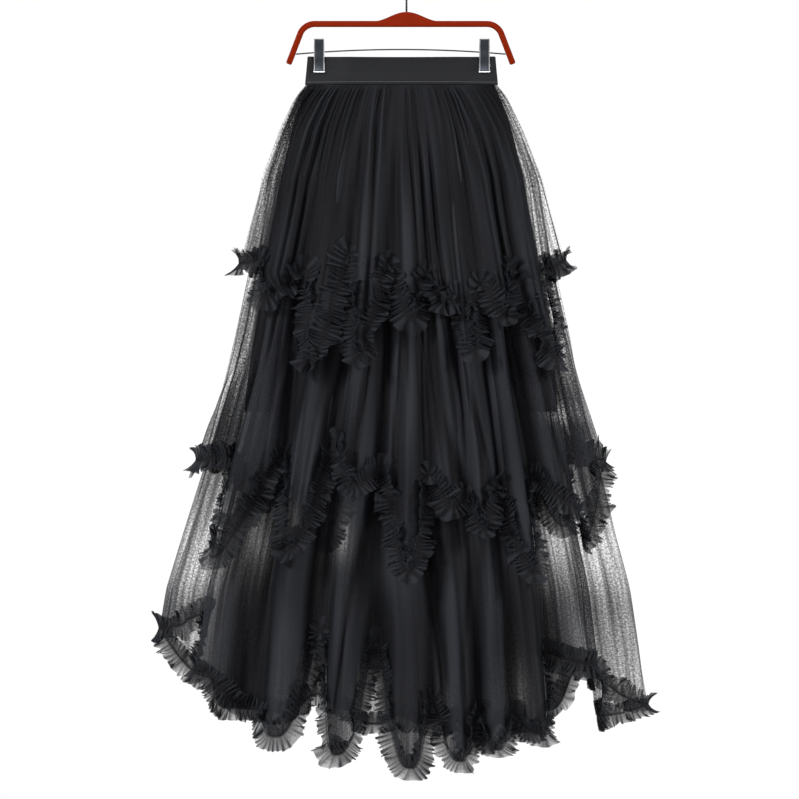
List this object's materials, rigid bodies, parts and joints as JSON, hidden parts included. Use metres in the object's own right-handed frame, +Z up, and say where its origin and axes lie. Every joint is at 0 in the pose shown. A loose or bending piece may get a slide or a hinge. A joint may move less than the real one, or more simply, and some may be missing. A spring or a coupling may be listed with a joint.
{
  "type": "tulle skirt on a clip hanger",
  "caption": "Long black tulle skirt in ruffled handkerchief tiers over a dark slip, held by its elastic waistband in the clips of a red hanger.",
  "frame": {"origin": "the point inside the top of the hook's bend that rests on a rail", "axes": "+Z up; +X to the right seen from the front; the front of the skirt faces -Y"},
  "size_m": [0.6968, 0.3909, 1.1554],
  "materials": {
    "tulle": "sheer black net, matte",
    "lining": "opaque black cloth, matte",
    "elastic": "ribbed black elastic, matte",
    "lacquer": "dark red, glossy",
    "steel_wire": "bright",
    "clip_steel": "satin"
  },
  "bodies": {
    "root": {"waistband": "elastic", "tier_upper_front": "tulle", "tier_upper_back": "tulle", "tier_middle_front": "tulle", "tier_middle_back": "tulle", "tier_lower_front": "tulle", "tier_lower_back": "tulle", "ruffle_upper": "tulle", "ruffle_middle": "tulle", "ruffle_lower": "tulle", "lining_front": "lining", "lining_back": "lining", "hanger_body": "lacquer", "hanger_hook": "steel_wire", "hanger_bar": "steel_wire", "clip_left_front_jaw": "clip_steel", "clip_left_back_jaw": "clip_steel", "clip_left_spring": "clip_steel", "clip_right_front_jaw": "clip_steel", "clip_right_back_jaw": "clip_steel", "clip_right_spring": "clip_steel"}
  },
  "joints": []
}
